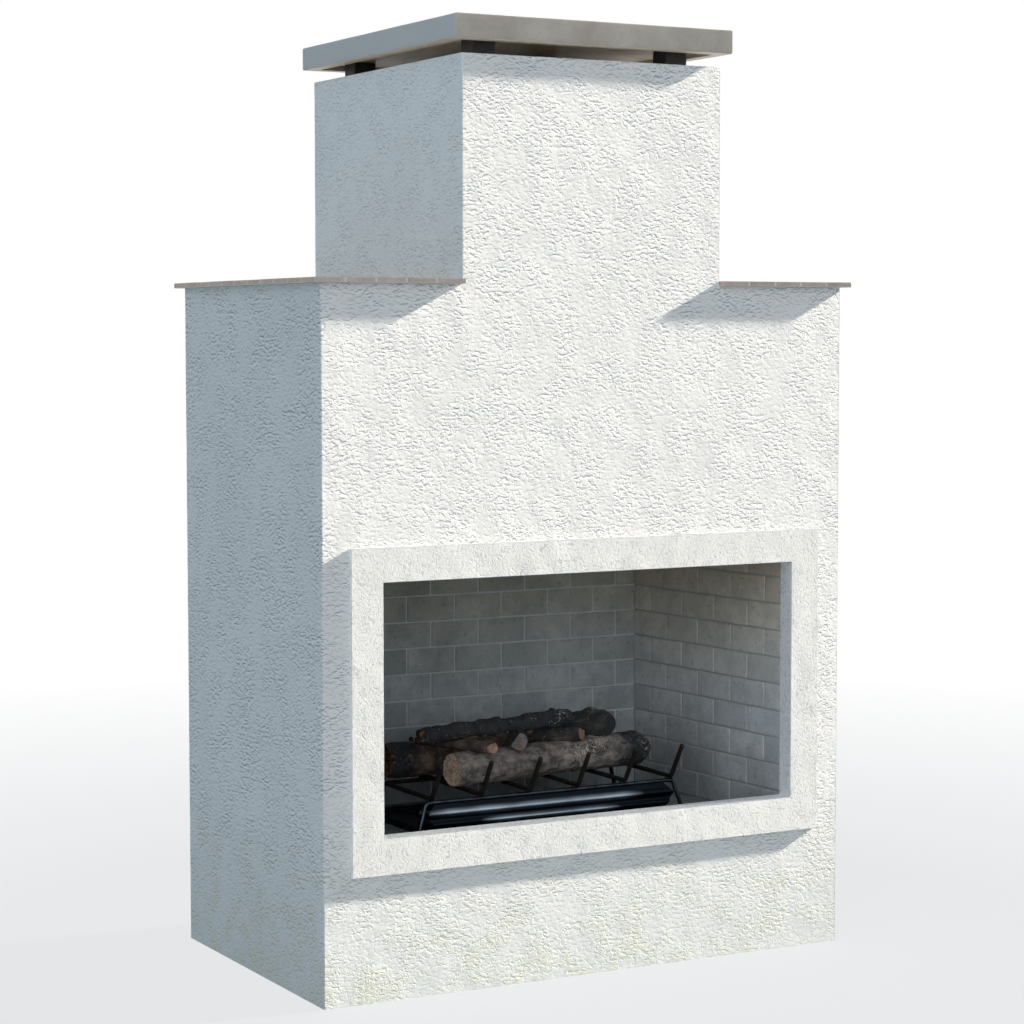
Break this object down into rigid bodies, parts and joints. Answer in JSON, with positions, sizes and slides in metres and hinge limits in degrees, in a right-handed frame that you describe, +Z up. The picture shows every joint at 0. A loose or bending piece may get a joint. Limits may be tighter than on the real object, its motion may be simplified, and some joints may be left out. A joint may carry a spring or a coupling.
{
  "type": "outdoor fireplace",
  "caption": "Free-standing stuccoed outdoor fireplace: brick firebox in a raised surround, tiled shoulders, slab-capped chimney, grate and log set over a gas burner.",
  "frame": {"origin": "middle of the body's footprint on the ground, which is also the middle of the bounding box's bottom face", "axes": "+X to the right seen from the front, +Y to the back, +Z up; the opening faces -Y"},
  "size_m": [1.255, 0.732, 1.942],
  "materials": {
    "board_back": "grey cement board",
    "board_chimney_left": "grey cement board",
    "board_chimney_right": "grey cement board",
    "board_front": "grey cement board",
    "board_ledge_left": "grey cement board",
    "board_ledge_right": "grey cement board",
    "board_left": "grey cement board",
    "board_right": "grey cement board",
    "bricks_back": "sooty grey firebrick in pale mortar",
    "bricks_left": "sooty grey firebrick in pale mortar",
    "bricks_right": "sooty grey firebrick in pale mortar",
    "burner_pan": "satin steel",
    "burner_tube": "satin steel",
    "cap_post_back_left": "black painted steel",
    "cap_post_back_right": "black painted steel",
    "cap_post_front_left": "black painted steel",
    "cap_post_front_right": "black painted steel",
    "cap_slab": "grey-brown cast stone, worn",
    "chimney_cover": "grey cement board",
    "cross_log_left": "ceramic log, charred bark with ash",
    "cross_log_middle": "ceramic log, charred bark with ash",
    "ember_guard": "polished dark steel strip",
    "flue_pipe": "galvanised sheet",
    "frame_back": "galvanised square tube, welded",
    "frame_base": "galvanised square tube, welded",
    "frame_chimney": "galvanised square tube, welded",
    "frame_front": "galvanised square tube, welded",
    "frame_hearth": "galvanised square tube, welded",
    "frame_ledge_left": "galvanised square tube, welded",
    "frame_ledge_right": "galvanised square tube, welded",
    "front_log": "ceramic log, charred bark with ash",
    "gas_riser": "black steel pipe",
    "grate_back_legs": "black-brown heat-worn steel rod",
    "grate_bar_1": "black-brown heat-worn steel rod",
    "grate_bar_2": "black-brown heat-worn steel rod",
    "grate_bar_3": "black-brown heat-worn steel rod",
    "grate_bar_4": "black-brown heat-worn steel rod",
    "grate_bar_5": "black-brown heat-worn steel rod",
    "grate_bar_6": "black-brown heat-worn steel rod",
    "grate_front_legs": "black-brown heat-worn steel rod",
    "hearth_bricks": "sooty grey firebrick in pale mortar",
    "hearth_kerb": "cast refractory",
    "hearth_slab": "cast refractory",
    "ledge_tiles_left": "taupe stone tile with a satin face and pale grout",
    "ledge_tiles_right": "taupe stone tile with a satin face and pale grout",
    "opening_surround": "finely textured cast surround, warm white",
    "panel_back": "refractory board",
    "panel_left": "refractory board",
    "panel_right": "refractory board",
    "rear_log": "ceramic log, charred bark with ash",
    "short_log": "ceramic log, charred bark with ash",
    "smoke_hood": "galvanised sheet",
    "stucco_back": "off-white cement stucco with a knockdown texture",
    "stucco_chimney_left": "off-white cement stucco with a knockdown texture",
    "stucco_chimney_right": "off-white cement stucco with a knockdown texture",
    "stucco_front": "off-white cement stucco with a knockdown texture",
    "stucco_left": "off-white cement stucco with a knockdown texture",
    "stucco_right": "off-white cement stucco with a knockdown texture",
    "stump_log": "ceramic log, charred bark with ash",
    "top_log": "ceramic log, charred bark with ash"
  },
  "bodies": {
    "fireplace": {"board_back": "board_back", "board_chimney_left": "board_chimney_left", "board_chimney_right": "board_chimney_right", "board_front": "board_front", "board_ledge_left": "board_ledge_left", "board_ledge_right": "board_ledge_right", "board_left": "board_left", "board_right": "board_right", "bricks_back": "bricks_back", "bricks_left": "bricks_left", "bricks_right": "bricks_right", "burner_pan": "burner_pan", "burner_tube": "burner_tube", "cap_post_back_left": "cap_post_back_left", "cap_post_back_right": "cap_post_back_right", "cap_post_front_left": "cap_post_front_left", "cap_post_front_right": "cap_post_front_right", "cap_slab": "cap_slab", "chimney_cover": "chimney_cover", "flue_pipe": "flue_pipe", "frame_back": "frame_back", "frame_base": "frame_base", "frame_chimney": "frame_chimney", "frame_front": "frame_front", "frame_hearth": "frame_hearth", "frame_ledge_left": "frame_ledge_left", "frame_ledge_right": "frame_ledge_right", "gas_riser": "gas_riser", "hearth_bricks": "hearth_bricks", "hearth_kerb": "hearth_kerb", "hearth_slab": "hearth_slab", "ledge_tiles_left": "ledge_tiles_left", "ledge_tiles_right": "ledge_tiles_right", "opening_surround": "opening_surround", "panel_back": "panel_back", "panel_left": "panel_left", "panel_right": "panel_right", "smoke_hood": "smoke_hood", "stucco_back": "stucco_back", "stucco_chimney_left": "stucco_chimney_left", "stucco_chimney_right": "stucco_chimney_right", "stucco_front": "stucco_front", "stucco_left": "stucco_left", "stucco_right": "stucco_right"},
    "grate": {"grate_back_legs": "grate_back_legs", "grate_bar_1": "grate_bar_1", "grate_bar_2": "grate_bar_2", "grate_bar_3": "grate_bar_3", "grate_bar_4": "grate_bar_4", "grate_bar_5": "grate_bar_5", "grate_bar_6": "grate_bar_6", "grate_front_legs": "grate_front_legs", "ember_guard": "ember_guard"},
    "front_log": {"front_log": "front_log"},
    "rear_log": {"rear_log": "rear_log"},
    "cross_log_left": {"cross_log_left": "cross_log_left"},
    "cross_log_middle": {"cross_log_middle": "cross_log_middle"},
    "short_log": {"short_log": "short_log"},
    "top_log": {"top_log": "top_log"},
    "stump_log": {"stump_log": "stump_log"}
  },
  "joints": [
    {"name": "grate_lift", "type": "slide", "parent": "fireplace", "child": "grate", "axis": [0, 0, 1], "range_m": [0, 0.055]},
    {"name": "rear_log_lift", "type": "slide", "parent": "grate", "child": "rear_log", "axis": [0, 0, 1], "range_m": [0, 0.045]},
    {"name": "front_log_lift", "type": "slide", "parent": "rear_log", "child": "front_log", "axis": [0, 0, 1], "range_m": [0, 0.045]},
    {"name": "cross_log_left_lift", "type": "slide", "parent": "front_log", "child": "cross_log_left", "axis": [0, 0, 1], "range_m": [0, 0.045]},
    {"name": "cross_log_middle_lift", "type": "slide", "parent": "cross_log_left", "child": "cross_log_middle", "axis": [0, 0, 1], "range_m": [0, 0.045]},
    {"name": "top_log_lift", "type": "slide", "parent": "cross_log_middle", "child": "top_log", "axis": [0, 0, 1], "range_m": [0, 0.045]},
    {"name": "short_log_lift", "type": "slide", "parent": "front_log", "child": "short_log", "axis": [0, 0, 1], "range_m": [0, 0.045]},
    {"name": "stump_log_lift", "type": "slide", "parent": "front_log", "child": "stump_log", "axis": [0, 0, 1], "range_m": [0, 0.045]}
  ]
}
